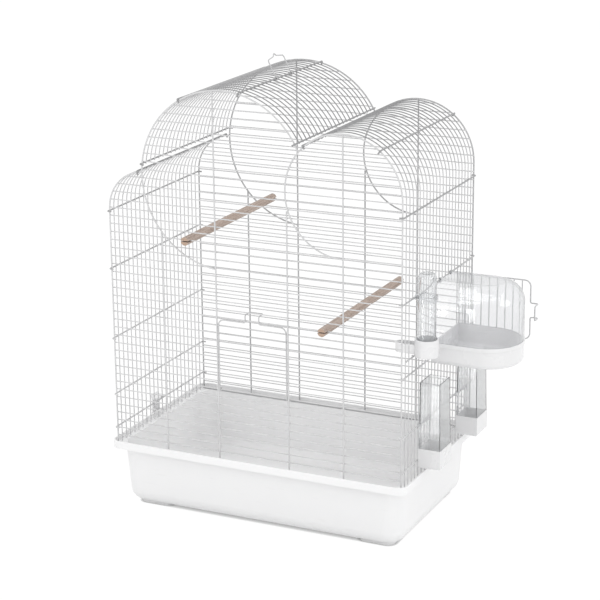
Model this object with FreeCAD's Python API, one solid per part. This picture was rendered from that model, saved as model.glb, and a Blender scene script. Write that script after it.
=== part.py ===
import FreeCAD, Part
import math
import os

# Bird cage: a wire cage with three arched vaults on a deep plastic tub, with a drop-down front door,
# a swinging side door, an outside bath, a drinker, two seed feeders, two perches and a carry handle.
# Lengths are millimetres. +X is right, +Y is back, +Z is up. The origin is on the floor under the
# middle of the tub. x is measured from the cage's left side, y from its front, h from the tub's ledge.

# Wire cage
CAGE_WIDTH = 510.0
CAGE_DEPTH = 305.0
FRAME_D = 2.6
CROSS_D = 2.6
BAR_D = 1.8
BAR_PITCH = 13.5
END_BAR_PITCH = 13.86
WELD_SET = 0.05
WELD_BITE = 0.15
GRIND_BLOCK = 12.0
HOOK_GAP = 0.05
HOOK_TAIL = 4.0
BAR_TAIL = 2.0

# Arched outline of the front and back panels
LEFT_ARCH_R = 66.0
RIGHT_ARCH_R = 98.0
LEFT_SPRING_H = 404.0
MIDDLE_CENTRE_H = 467.0
RIGHT_SPRING_H = 462.0
LEFT_LAP = 4.0
RIGHT_LAP = 36.0
LEFT_SETBACK = 7.0
CREASE_SETBACK = 13.0
SHORTEST_CHORD = 40.0
LEFT_UPRIGHT_share = 0.26

# Cross wires of the end panels and the vaults
LATCH_WIRE_H = 29.0
FEEDER_WIRE_H = 87.0
SIDE_SILL_H = 184.0
DRINKER_SILL_H = 209.0
SIDE_HEAD_H = 303.5
LEFT_TOP_WIRE_share = 0.99
RIGHT_TOP_WIRE_share = 0.952
ROOF_WIRE_shares = (0.365, 0.665)
RIGHT_VAULT_WIRE_share = 0.57

# Doors
DOOR_WIRE_D = 2.2
RUNNING_GAP = 0.3
DOOR_SIDE_GAP = 0.5
DOOR_CORNER_R = 10.0
HINGE_LOOP_TURN = 250.0
CATCH_WIDTH = 24.0
CATCH_REACH = 14.0
CATCH_BEND_R = 3.0
CATCH_RISE = 13.0
FRONT_DOOR_BAY = 125.6
FRONT_DOOR_SILL_H = 124.0
FRONT_DOOR_HEIGHT = 109.0
FRONT_DOOR_LAP = 10.5
SIDE_DOOR_HINGE_Y = 236.0
SIDE_DOOR_LENGTH = 125.0
SIDE_DOOR_LAP = 0.0
SIDE_DOOR_GAP = 8.0
SIDE_DOOR_OPEN_DEG = 90.0
SQUARE_DEG = 90.0

# Carry handle
HANDLE_D = 2.0
HANDLE_HALF_SPAN_PITCHES = 2
HANDLE_LEG = 31.5
HANDLE_CROWN = 3.0
HANDLE_PEAK = 5.0
HANDLE_PEAK_HALF = 5.0
HANDLE_BEND_R = 4.0
HANDLE_PEAK_R = 2.0
HANDLE_LEAN_DEG = 26.6

# Tub
RIM_MARGIN = 10.0
RIM_CORNER_R = 16.0
RIM_HEIGHT = 7.0
RIM_SKIRT = 6.0
TUB_HEIGHT = 109.0
TUB_WALL = 2.5
TUB_TOP_INSET = 12.5
TUB_DRAFT = 4.0
TUB_TOP_CORNER_R = 24.0
TUB_FOOT_CORNER_R = 32.0
TUB_EDGE_R = 24.0
FOOT_HEIGHT = 4.0
FOOT_ROOT = 2.0
FOOT_LENGTH = 60.0
FOOT_WIDTH = 44.0
FOOT_CORNER_R = 12.0
FOOT_INSET = 18.0
PAD_R = 24.0

# Base latches
LATCH_WIDTH = 24.0
LATCH_PLATE = 2.5
LATCH_BARREL_R = 3.2
LATCH_PIN_R = 1.5
PIN_GAP = 0.05
LATCH_PIN_OUT = 4.0
LATCH_PIN_DROP = 5.0
LATCH_EAR = 3.0
LATCH_TAB = 3.0
LATCH_TAB_LEAN = 3.0

# Perches
PERCH_D = 14.0
PERCH_OVERHANG = 8.0
PERCH_SLOT_GAP = 0.15
PERCH_EDGE = 0.8
LEFT_PERCH_IN = 140.0
LEFT_PERCH_H = 367.0
RIGHT_PERCH_IN = 132.0
RIGHT_PERCH_H = 245.0

# Clips that hold the outside fittings on the cross wires
OUTSIDE_GAP = 0.7
CLIP_WIDTH = 6.0
CLIP_JAW = 2.0
CLIP_SLOT_GAP = 0.3
CLIP_REACH = 2.6
CLIP_HOLD = 1.0

# Bath
BATH_SIDE_GAP = 3.4
BATH_REACH = 130.0
BATH_SILL_RISE = 26.0
BATH_DEPTH = 36.0
BATH_WALL = 2.0
BATH_EDGE_R = 8.0
HOOD_WALL = 1.8
HOOD_DOME_R = 32.0
TRAY_CLIP_share = 0.74
HOOD_CLIP_share = 0.85

# Drinker
DRINKER_EDGE_Y = 27.7
DRINKER_BAYS = 3
CUP_R = 19.0
CUP_HEIGHT = 28.0
CUP_WALL = 2.0
TUBE_R = 14.5
TUBE_WALL = 1.5
TUBE_TOP_H = 344.0
TUBE_DIP = 14.0
TUBE_DOME_R = 6.0
SPOUT_LENGTH = 30.0
SPOUT_WIDTH = 20.0
SPOUT_HEIGHT = 15.0
SPOUT_LIFT = 3.0
CLIP_RING_WALL = 2.2
CLIP_RING_HEIGHT = 9.0

# Seed feeders
FRONT_FEEDER_Y = 83.0
REAR_FEEDER_Y = 249.5
TROUGH_LENGTH = 49.0
TROUGH_WIDTH = 38.0
TROUGH_HEIGHT = 33.0
TROUGH_BOTTOM_H = 17.0
TROUGH_WALL = 2.0
TROUGH_EDGE_R = 5.0
HOPPER_HEIGHT = 110.0
HOPPER_WALL = 1.6
HOPPER_TAPER = 2.0
HOPPER_INSET = 1.0
HOPPER_WINDOW_share = 0.6
HOPPER_CLIP_share = 0.78
FEEDER_HOLE_RISE = 4.0

# Every cut runs this far past the material that it leaves
OVERRUN = 2.0

V = FreeCAD.Vector
UP = V(0, 0, 1)
BACK = V(0, 1, 0)

# Places that follow from the sizes
LEDGE_Z = TUB_HEIGHT
HALF_WIDTH = CAGE_WIDTH / 2
HALF_DEPTH = CAGE_DEPTH / 2
END_GAPS = round(CAGE_DEPTH / END_BAR_PITCH)
END_PITCH = CAGE_DEPTH / END_GAPS
CROSS_OUT = FRAME_D / 2 + CROSS_D / 2 + HOOK_GAP
BAR_OUT = CROSS_OUT - CROSS_D / 2 - BAR_D / 2 + WELD_SET
BAR_IN = FRAME_D / 2 + BAR_D / 2 - WELD_SET
MIDDLE_LEFT_X = LEFT_ARCH_R - LEFT_LAP
MIDDLE_RIGHT_X = CAGE_WIDTH - 2 * RIGHT_ARCH_R + RIGHT_LAP
MIDDLE_ARCH_R = (MIDDLE_RIGHT_X - MIDDLE_LEFT_X) / 2
OUTSIDE_X = CAGE_WIDTH + CROSS_OUT + CROSS_D / 2 + OUTSIDE_GAP


class Arch:
    """One of the three circles of the outline, by its centre and radius."""

    def __init__(self, x, h, radius):
        self.x = x
        self.h = h
        self.radius = radius

    def at(self, angle, out=0.0):
        reach = self.radius + out
        return self.x + reach * math.cos(angle), self.h + reach * math.sin(angle)

    def half_chord(self, h):
        return math.sqrt(max(self.radius**2 - (h - self.h) ** 2, 0.0))

    def half_height(self, x):
        return math.sqrt(self.radius**2 - (x - self.x) ** 2)

    def angle_to(self, x, h):
        return math.atan2(h - self.h, x - self.x)

    def crease(self, other):
        """The upper of the two points where this circle meets the other."""
        dx = other.x - self.x
        dh = other.h - self.h
        apart = math.hypot(dx, dh)
        along = (self.radius**2 - other.radius**2 + apart**2) / (2 * apart)
        across = math.sqrt(self.radius**2 - along**2)
        return self.x + (along * dx - across * dh) / apart, self.h + (along * dh + across * dx) / apart


LEFT_ARCH = Arch(LEFT_ARCH_R, LEFT_SPRING_H, LEFT_ARCH_R)
MIDDLE_ARCH = Arch((MIDDLE_LEFT_X + MIDDLE_RIGHT_X) / 2, MIDDLE_CENTRE_H, MIDDLE_ARCH_R)
RIGHT_ARCH = Arch(CAGE_WIDTH - RIGHT_ARCH_R, RIGHT_SPRING_H, RIGHT_ARCH_R)
LEFT_CREASE = LEFT_ARCH.crease(MIDDLE_ARCH)
RIGHT_CREASE = MIDDLE_ARCH.crease(RIGHT_ARCH)

# Upright wires of the front and back panels
DOOR_RIGHT_X = CAGE_WIDTH - 2 * RIGHT_ARCH_R + FRAME_D
DOOR_LEFT_X = DOOR_RIGHT_X - FRONT_DOOR_BAY
LEFT_UPRIGHT_X = MIDDLE_LEFT_X + (DOOR_LEFT_X - MIDDLE_LEFT_X) * LEFT_UPRIGHT_share
RIGHT_UPRIGHT_X = RIGHT_ARCH.x

# Bars that edge the openings
SILL_BAR = round(FRONT_DOOR_SILL_H / BAR_PITCH)
HEAD_BAR = SILL_BAR + round(FRONT_DOOR_HEIGHT / BAR_PITCH)
HINGE_BAR = round(SIDE_DOOR_HINGE_Y / END_PITCH)
STOP_BAR = HINGE_BAR - round(SIDE_DOOR_LENGTH / END_PITCH)
DRINKER_BAR = round(DRINKER_EDGE_Y / END_PITCH)
FEEDER_BARS = [round(y / END_PITCH) for y in (FRONT_FEEDER_Y, REAR_FEEDER_Y)]
FEEDER_HOLE_H = TROUGH_BOTTOM_H + TROUGH_HEIGHT + FEEDER_HOLE_RISE


def place(x, y, h):
    """A point of the cage, from its left side, its front and the tub's ledge."""
    return V(x - HALF_WIDTH, y - HALF_DEPTH, LEDGE_Z + h)


def bar_height(k):
    return FRAME_D / 2 + k * BAR_PITCH


def end_bar_y(k):
    return k * END_PITCH


def line(a, b):
    return Part.LineSegment(a, b).toShape()


def straight(a, b, diameter):
    return Part.makeCylinder(diameter / 2, (b - a).Length, a, b - a)


def wire_along(edges, diameter):
    """Round wire swept along tangent lines and arcs."""
    path = Part.Wire(edges)
    first = path.OrderedEdges[0]
    start = path.OrderedVertexes[0].Point
    heading = first.tangentAt(first.Curve.parameter(start))
    section = Part.Wire([Part.makeCircle(diameter / 2, start, heading)])
    return path.makePipeShell([section], True, False)


def rounded_path(points, radius):
    """Straight runs through the points, with every corner bent to the radius."""
    edges = []
    start = points[0]
    for before, corner, after in zip(points, points[1:], points[2:]):
        into = V(corner - before).normalize()
        out = V(after - corner).normalize()
        turn = into.getAngle(out)
        bend_in = corner - into * (radius * math.tan(turn / 2))
        bend_out = corner + out * (radius * math.tan(turn / 2))
        inside = V(out - into).normalize()
        middle = corner + inside * (radius / math.cos(turn / 2) - radius)
        edges.append(line(start, bend_in))
        edges.append(Part.Arc(bend_in, middle, bend_out).toShape())
        start = bend_out
    edges.append(line(start, points[-1]))
    return edges


def bent_path(points, radii):
    """As rounded_path, with a radius of its own for every corner."""
    edges = []
    start = points[0]
    for before, corner, after, radius in zip(points, points[1:], points[2:], radii):
        middle_in = (before + corner) * (1 / 2)
        middle_out = (corner + after) * (1 / 2)
        first, bend, last = rounded_path([middle_in, corner, middle_out], radius)
        edges.append(line(start, first.Vertexes[-1].Point))
        edges.append(bend)
        start = last.Vertexes[0].Point
    edges.append(line(start, points[-1]))
    return edges


def arch_edge(arch, from_angle, to_angle, y, out=0.0):
    angles = (from_angle, (from_angle + to_angle) / 2, to_angle)
    spots = [arch.at(angle, out) for angle in angles]
    return Part.Arc(*[place(x, y, h) for x, h in spots]).toShape()


def box(low, high):
    size = high - low
    return Part.makeBox(size.x, size.y, size.z, low)


def fused(shapes):
    joined = shapes[0].multiFuse(shapes[1:])
    return joined.removeSplitter().Solids[0]


def export(name, solids):
    shape = solids[0] if len(solids) == 1 else Part.makeCompound(solids)
    shape.exportStep(os.path.join("parts", name + ".step"))


# Front and back panels: three bent outline wires, a bottom rail, uprights and level bars


def ground(wire, arch, angle, y, outside):
    """The wire with its end ground flat where it meets an arch from outside or inside the circle."""
    away = V(math.cos(angle), 0, math.sin(angle)) * (1 if outside else -1)
    x, h = arch.at(angle)
    face = place(x, y, h) + away * (FRAME_D / 2 - WELD_BITE)
    half = GRIND_BLOCK / 2
    block = Part.makeBox(GRIND_BLOCK, GRIND_BLOCK, GRIND_BLOCK, V(-half, -half, -GRIND_BLOCK))
    block.Placement = FreeCAD.Placement(face, FreeCAD.Rotation(UP, away))
    return max(wire.cut(block).Solids, key=lambda solid: solid.Volume)


def outline_wires(y):
    """The left, middle and right outline wires. Inside the panel two of them run on as open arcs."""
    lap = FRAME_D / 2 - WELD_SET
    left = wire_along(
        [
            line(place(0, y, 0), place(0, y, LEFT_SPRING_H)),
            arch_edge(LEFT_ARCH, math.pi, LEFT_ARCH.angle_to(*LEFT_CREASE), y),
        ],
        FRAME_D,
    )
    middle_end = 3 / 2 * math.pi - math.asin((MIDDLE_ARCH.x - DOOR_LEFT_X + lap) / MIDDLE_ARCH_R)
    middle = wire_along(
        [arch_edge(MIDDLE_ARCH, middle_end, MIDDLE_ARCH.angle_to(*RIGHT_CREASE), y)], FRAME_D
    )
    right_end = 3 / 2 * math.pi - math.asin((RIGHT_ARCH.x - RIGHT_UPRIGHT_X + lap) / RIGHT_ARCH_R)
    right = wire_along(
        [
            arch_edge(RIGHT_ARCH, right_end, 0, y),
            line(place(CAGE_WIDTH, y, RIGHT_SPRING_H), place(CAGE_WIDTH, y, 0)),
        ],
        FRAME_D,
    )
    return [
        ground(left, MIDDLE_ARCH, MIDDLE_ARCH.angle_to(*LEFT_CREASE), y, True),
        ground(middle, RIGHT_ARCH, RIGHT_ARCH.angle_to(*RIGHT_CREASE), y, True),
        right,
    ]


def upright(x, y, top):
    return straight(place(x, y, 0), place(x, y, top), FRAME_D)


def uprights(y):
    """Upright wires: two under the open arcs and two up to the crowns of the vaults."""
    low = MIDDLE_ARCH.h - MIDDLE_ARCH.half_height(LEFT_UPRIGHT_X)
    high = MIDDLE_ARCH.h + MIDDLE_ARCH.half_height(DOOR_LEFT_X)
    beside = RIGHT_ARCH.half_height(DOOR_RIGHT_X + FRAME_D - WELD_SET)
    crown = RIGHT_ARCH.h + RIGHT_ARCH_R
    left = upright(LEFT_UPRIGHT_X, y, low)
    door_left = upright(DOOR_LEFT_X, y, high)
    right = upright(RIGHT_UPRIGHT_X, y, crown)
    return [
        ground(left, MIDDLE_ARCH, MIDDLE_ARCH.angle_to(LEFT_UPRIGHT_X, low), y, True),
        ground(door_left, MIDDLE_ARCH, MIDDLE_ARCH.angle_to(DOOR_LEFT_X, high), y, False),
        upright(DOOR_RIGHT_X, y, RIGHT_ARCH.h - beside),
        ground(right, RIGHT_ARCH, RIGHT_ARCH.angle_to(RIGHT_UPRIGHT_X, crown), y, False),
    ]


def bottom_rail(y, inward):
    rail_y = y + inward * (FRAME_D - WELD_SET)
    return straight(place(0, rail_y, FRAME_D / 2), place(CAGE_WIDTH, rail_y, FRAME_D / 2), FRAME_D)


def level_spans(h):
    """The stretches of the panel at height h, from the left outline to the right one."""
    spans = []
    if h < LEFT_SPRING_H + LEFT_ARCH_R:
        reach = LEFT_ARCH.half_chord(max(h, LEFT_SPRING_H))
        spans.append((LEFT_ARCH.x - reach, LEFT_ARCH.x + reach))
    if h < MIDDLE_ARCH.h + MIDDLE_ARCH_R:
        reach = MIDDLE_ARCH.half_chord(max(h, MIDDLE_ARCH.h))
        spans.append((MIDDLE_ARCH.x - reach, MIDDLE_ARCH.x + reach))
    if h < RIGHT_SPRING_H + RIGHT_ARCH_R:
        reach = RIGHT_ARCH.half_chord(max(h, RIGHT_SPRING_H))
        spans.append((RIGHT_ARCH.x - reach, RIGHT_ARCH.x + reach))
    merged = []
    for start, end in sorted(spans):
        if merged and start <= merged[-1][1]:
            merged[-1] = (merged[-1][0], max(end, merged[-1][1]))
        else:
            merged.append((start, end))
    return [(a, b) for a, b in merged if b - a > SHORTEST_CHORD]


def level_bars(y, inward, doorway):
    bars = []
    bar_y = y + inward * BAR_IN
    count = int((MIDDLE_ARCH.h + MIDDLE_ARCH_R) / BAR_PITCH)
    for k in range(1, count + 1):
        h = bar_height(k)
        for start, end in level_spans(h):
            pieces = [(start, end)]
            if doorway and SILL_BAR < k < HEAD_BAR:
                pieces = [(start, DOOR_LEFT_X), (DOOR_RIGHT_X, end)]
            bars += [straight(place(a, bar_y, h), place(b, bar_y, h), BAR_D) for a, b in pieces]
    return bars


# End panels and vaults: upright bars bent over the vaults, with cross wires hooked round the outline


def cross_wire(x, h, out_x, out_h):
    """A cross wire outside the bars at an outline point, hooked round the front and back outlines."""

    def at(y, out):
        return place(x + out_x * out, y, h + out_h * out)

    front = -CROSS_OUT
    back = CAGE_DEPTH + CROSS_OUT
    points = [at(front, -HOOK_TAIL), at(front, CROSS_OUT), at(back, CROSS_OUT), at(back, -HOOK_TAIL)]
    return wire_along(rounded_path(points, CROSS_OUT), CROSS_D)


def arch_cross_wire(arch, angle):
    x, h = arch.at(angle)
    return cross_wire(x, h, math.cos(angle), math.sin(angle))


def between(from_angle, to_angle, share):
    return from_angle + (to_angle - from_angle) * share


LEFT_EDGE = LEFT_ARCH.angle_to(*LEFT_CREASE) + LEFT_SETBACK / LEFT_ARCH_R
ROOF_LEFT_EDGE = MIDDLE_ARCH.angle_to(*LEFT_CREASE) - CREASE_SETBACK / MIDDLE_ARCH_R
ROOF_RIGHT_EDGE = MIDDLE_ARCH.angle_to(*RIGHT_CREASE) + CREASE_SETBACK / MIDDLE_ARCH_R
RIGHT_EDGE = RIGHT_ARCH.angle_to(*RIGHT_CREASE) - CREASE_SETBACK / RIGHT_ARCH_R
ROOF_ANGLES = [between(ROOF_LEFT_EDGE, ROOF_RIGHT_EDGE, share) for share in ROOF_WIRE_shares]
HANDLE_ANGLE = ROOF_ANGLES[-1]


def left_end():
    bars = []
    tail = BAR_TAIL / LEFT_ARCH_R
    for k in range(1, END_GAPS):
        y = end_bar_y(k)
        foot = line(place(-BAR_OUT, y, 0), place(-BAR_OUT, y, LEFT_SPRING_H))
        vault = arch_edge(LEFT_ARCH, math.pi, LEFT_EDGE - tail, y, BAR_OUT)
        bars.append(wire_along([foot, vault], BAR_D))
    heights = [LATCH_WIRE_H, FEEDER_WIRE_H, SIDE_SILL_H, SIDE_HEAD_H, LEFT_TOP_WIRE_share * LEFT_SPRING_H]
    crosses = [cross_wire(0, h, -1, 0) for h in heights]
    crosses.append(arch_cross_wire(LEFT_ARCH, LEFT_EDGE))
    return bars, crosses


def roof():
    tail = BAR_TAIL / MIDDLE_ARCH_R
    bars = []
    for k in range(1, END_GAPS):
        vault = arch_edge(MIDDLE_ARCH, ROOF_LEFT_EDGE + tail, ROOF_RIGHT_EDGE - tail, end_bar_y(k), BAR_OUT)
        bars.append(wire_along([vault], BAR_D))
    angles = [ROOF_LEFT_EDGE, *ROOF_ANGLES, ROOF_RIGHT_EDGE]
    return bars, [arch_cross_wire(MIDDLE_ARCH, angle) for angle in angles]


def right_bar_gaps(k):
    """The height ranges that an opening takes out of end bar k, lowest first."""
    gaps = []
    if k in FEEDER_BARS:
        gaps.append((FEEDER_HOLE_H, FEEDER_WIRE_H))
    if STOP_BAR < k < HINGE_BAR:
        gaps.append((SIDE_SILL_H, SIDE_HEAD_H))
    if DRINKER_BAR < k < DRINKER_BAR + DRINKER_BAYS:
        gaps.append((DRINKER_SILL_H, SIDE_HEAD_H))
    return gaps


def right_end():
    bars = []
    x = CAGE_WIDTH + BAR_OUT
    tail = BAR_TAIL / RIGHT_ARCH_R
    for k in range(1, END_GAPS):
        y = end_bar_y(k)
        foot = 0
        for low, high in right_bar_gaps(k):
            bars.append(straight(place(x, y, foot), place(x, y, low + BAR_TAIL), BAR_D))
            foot = high - BAR_TAIL
        stem = line(place(x, y, foot), place(x, y, RIGHT_SPRING_H))
        vault = arch_edge(RIGHT_ARCH, 0, RIGHT_EDGE + tail, y, BAR_OUT)
        bars.append(wire_along([stem, vault], BAR_D))
    top = RIGHT_TOP_WIRE_share * RIGHT_SPRING_H
    heights = [LATCH_WIRE_H, FEEDER_WIRE_H, SIDE_SILL_H, SIDE_HEAD_H, top]
    crosses = [cross_wire(CAGE_WIDTH, h, 1, 0) for h in heights]
    crosses.append(arch_cross_wire(RIGHT_ARCH, RIGHT_VAULT_WIRE_share * math.pi / 2))
    crosses.append(arch_cross_wire(RIGHT_ARCH, RIGHT_EDGE))
    short = [(1, DRINKER_BAR + DRINKER_BAYS, DRINKER_SILL_H)]
    short += [(k - 1, k + 1, FEEDER_HOLE_H) for k in FEEDER_BARS]
    out = CAGE_WIDTH + CROSS_OUT
    for first, last, h in short:
        ends = (end_bar_y(first) - BAR_TAIL, end_bar_y(last) + BAR_TAIL)
        crosses.append(straight(place(out, ends[0], h), place(out, ends[1], h), CROSS_D))
    return bars, crosses


# Wire doors: one bent wire whose ends loop round the hinge bar, humped into a catch, with bars across.
# Each is made shut and upright, with its hinge along X through the origin and its outside towards -Y.


def door_pieces(width, pitch, gaps, lap):
    loop = BAR_D / 2 + RUNNING_GAP + DOOR_WIRE_D / 2
    top = gaps * pitch + lap
    over = top + CATCH_RISE
    left = (width - CATCH_WIDTH) / 2
    right = (width + CATCH_WIDTH) / 2
    turn = math.radians(HINGE_LOOP_TURN)

    def hinge_loop(x):
        angles = (0, turn / 2, turn)
        spots = [V(x, -loop * math.cos(a), -loop * math.sin(a)) for a in angles]
        return Part.Arc(*spots).toShape()

    corners = [
        V(0, -loop, 0),
        V(0, -loop, top),
        V(left, -loop, top),
        V(left, -loop, over),
        V(left, CATCH_REACH, over),
        V(right, CATCH_REACH, over),
        V(right, -loop, over),
        V(right, -loop, top),
        V(width, -loop, top),
        V(width, -loop, 0),
    ]
    catch_bends = [CATCH_BEND_R] * (len(corners) - 4)
    sides = bent_path(corners, [DOOR_CORNER_R, *catch_bends, DOOR_CORNER_R])
    frame = wire_along([hinge_loop(0), *sides, hinge_loop(width)], DOOR_WIRE_D)
    bar_y = -loop + DOOR_WIRE_D / 2 + BAR_D / 2 - WELD_SET
    bars = [
        straight(V(0, bar_y, k * pitch), V(width, bar_y, k * pitch), BAR_D) for k in range(1, gaps)
    ]
    return [frame], bars


def front_door():
    gaps = HEAD_BAR - SILL_BAR
    side = FRAME_D / 2 + DOOR_SIDE_GAP + DOOR_WIRE_D / 2
    width = FRONT_DOOR_BAY - 2 * side
    groups = door_pieces(width, BAR_PITCH, gaps, FRONT_DOOR_LAP)
    hinge = place(DOOR_LEFT_X + side, BAR_IN, bar_height(SILL_BAR))
    return [[solid.translated(hinge) for solid in group] for group in groups]


def side_door():
    gaps = HINGE_BAR - STOP_BAR
    low = SIDE_SILL_H + CROSS_D / 2 + SIDE_DOOR_GAP + DOOR_WIRE_D / 2
    high = SIDE_HEAD_H - CROSS_D / 2 - SIDE_DOOR_GAP - DOOR_WIRE_D / 2
    groups = door_pieces(high - low, END_PITCH, gaps, SIDE_DOOR_LAP)
    hinge = place(CAGE_WIDTH + BAR_OUT, end_bar_y(HINGE_BAR), low)
    stood = FreeCAD.Rotation(BACK, -SQUARE_DEG)
    shut = FreeCAD.Rotation(UP, SQUARE_DEG)
    opened = FreeCAD.Rotation(UP, SIDE_DOOR_OPEN_DEG)
    turned = FreeCAD.Placement(hinge, opened.multiply(shut).multiply(stood))
    return [[solid.transformed(turned.toMatrix()) for solid in group] for group in groups]


# Carry handle: a bail looped round a roof cross wire, with a peak to hang it by


def carry_handle():
    x, h = MIDDLE_ARCH.at(HANDLE_ANGLE, CROSS_OUT)
    half = HANDLE_HALF_SPAN_PITCHES * END_PITCH
    middle = (round(END_GAPS / 2) + 1 / 2) * END_PITCH
    loop = CROSS_D / 2 + RUNNING_GAP + HANDLE_D / 2
    lean = math.radians(HANDLE_LEAN_DEG)
    out = V(-math.sin(lean), 0, math.cos(lean))

    def at(along, up):
        return place(x, middle + along, h) + out * up

    crown = HANDLE_LEG + HANDLE_CROWN
    shoulders = [
        at(-half, loop),
        at(-half, HANDLE_LEG),
        at(-HANDLE_PEAK_HALF, crown),
        at(0, crown + HANDLE_PEAK),
        at(HANDLE_PEAK_HALF, crown),
        at(half, HANDLE_LEG),
        at(half, loop),
    ]
    radii = [HANDLE_BEND_R, HANDLE_PEAK_R, HANDLE_PEAK_R, HANDLE_PEAK_R, HANDLE_BEND_R]
    bail = wire_along(bent_path(shoulders, radii), HANDLE_D)
    rings = [Part.makeTorus(loop, HANDLE_D / 2, at(side, 0), BACK) for side in (-half, half)]
    return [fused([bail, *rings])]


# Tub: a deep drafted tray with a ledge for the wires, a raised rim, corner feet and latch ears


def rounded_rectangle(half_x, half_y, radius, z):
    corners = [(1, -1), (1, 1), (-1, 1), (-1, -1)]
    edges = []
    start = V(-half_x + radius, -half_y, z)
    diagonal = math.sqrt(1 / 2)
    for index, (sx, sy) in enumerate(corners):
        centre = V(sx * (half_x - radius), sy * (half_y - radius), z)
        flat_x = V(sx * radius, 0, 0)
        flat_y = V(0, sy * radius, 0)
        first, last = (flat_y, flat_x) if index % 2 == 0 else (flat_x, flat_y)
        corner = V(sx * radius * diagonal, sy * radius * diagonal, 0)
        edges.append(line(start, centre + first))
        edges.append(Part.Arc(centre + first, centre + corner, centre + last).toShape())
        start = centre + last
    return Part.Wire(edges)


def slab(half_x, half_y, radius, low, high):
    face = Part.Face(rounded_rectangle(half_x, half_y, radius, low))
    return face.extrude(UP * (high - low))


def tub_form(wall, low, high):
    """The drafted body, shrunk by the wall, with its bottom edge rounded."""
    rim_x = HALF_WIDTH + RIM_MARGIN - TUB_TOP_INSET - wall
    rim_y = HALF_DEPTH + RIM_MARGIN - TUB_TOP_INSET - wall
    bottom = rounded_rectangle(rim_x - TUB_DRAFT, rim_y - TUB_DRAFT, TUB_FOOT_CORNER_R - wall, low)
    top = rounded_rectangle(rim_x, rim_y, TUB_TOP_CORNER_R - wall, high)
    form = Part.makeLoft([bottom, top], True, True)
    edges = [edge for edge in form.Edges if edge.BoundBox.ZMax < low + wall + OVERRUN]
    return form.makeFillet(TUB_EDGE_R - wall, edges)


def base_tub():
    floor = FOOT_HEIGHT + TUB_WALL
    rim_x = HALF_WIDTH + RIM_MARGIN
    rim_y = HALF_DEPTH + RIM_MARGIN
    body = tub_form(0, FOOT_HEIGHT, LEDGE_Z)
    hollow = tub_form(TUB_WALL, floor, LEDGE_Z)
    flange = slab(rim_x, rim_y, RIM_CORNER_R, LEDGE_Z - TUB_WALL, LEDGE_Z)
    lip = slab(rim_x, rim_y, RIM_CORNER_R, LEDGE_Z - RIM_SKIRT, LEDGE_Z + RIM_HEIGHT)
    lip_hole = slab(
        rim_x - TUB_WALL,
        rim_y - TUB_WALL,
        RIM_CORNER_R - TUB_WALL,
        LEDGE_Z - RIM_SKIRT - OVERRUN,
        LEDGE_Z + RIM_HEIGHT + OVERRUN,
    )
    feet = [corner_foot(sx, sy) for sx in (-1, 1) for sy in (-1, 1)]
    pad = Part.makeCylinder(PAD_R, FOOT_HEIGHT + FOOT_ROOT)
    ears = [ear for side in (-1, 1) for ear in latch_ears(side)]
    shell = fused([body, flange]).cut(hollow)
    return [fused([shell, lip.cut(lip_hole), pad, *feet, *ears])]


def corner_foot(sx, sy):
    """A corner foot, reaching into the tub's floor."""
    x = sx * (HALF_WIDTH + RIM_MARGIN - TUB_TOP_INSET - TUB_DRAFT - FOOT_INSET - FOOT_LENGTH / 2)
    y = sy * (HALF_DEPTH + RIM_MARGIN - TUB_TOP_INSET - TUB_DRAFT - FOOT_INSET - FOOT_WIDTH / 2)
    foot = slab(FOOT_LENGTH / 2, FOOT_WIDTH / 2, FOOT_CORNER_R, 0, FOOT_HEIGHT + FOOT_ROOT)
    return foot.translated(V(x, y, 0))


# Base latches: a plastic lever on each end, pinned in the tub's ears, with a lip over the lowest wire


def latch_axis(side):
    x = side * (HALF_WIDTH + RIM_MARGIN + LATCH_PIN_OUT)
    return V(x, 0, LEDGE_Z + RIM_HEIGHT - LATCH_PIN_DROP)


def latch_ears(side):
    axis = latch_axis(side)
    rim_x = side * (HALF_WIDTH + RIM_MARGIN - TUB_WALL / 2)
    ears = []
    for sy in (-1, 1):
        near = sy * (LATCH_WIDTH / 2 + RUNNING_GAP)
        far = near + sy * LATCH_EAR
        low_y, high_y = min(near, far), max(near, far)
        low_x, high_x = min(rim_x, axis.x), max(rim_x, axis.x)
        arm = box(V(low_x, low_y, axis.z - LATCH_BARREL_R), V(high_x, high_y, axis.z + LATCH_BARREL_R))
        knuckle = Part.makeCylinder(LATCH_BARREL_R, LATCH_EAR, V(axis.x, low_y, axis.z), BACK)
        hole = Part.makeCylinder(
            LATCH_PIN_R, LATCH_EAR + 2 * OVERRUN, V(axis.x, low_y - OVERRUN, axis.z), BACK
        )
        ears.append(arm.fuse(knuckle).cut(hole))
    return ears


def latch_pin(side):
    axis = latch_axis(side)
    length = LATCH_WIDTH + 2 * RUNNING_GAP + 2 * LATCH_EAR
    return [Part.makeCylinder(LATCH_PIN_R, length, axis - BACK * (length / 2), BACK)]


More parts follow.
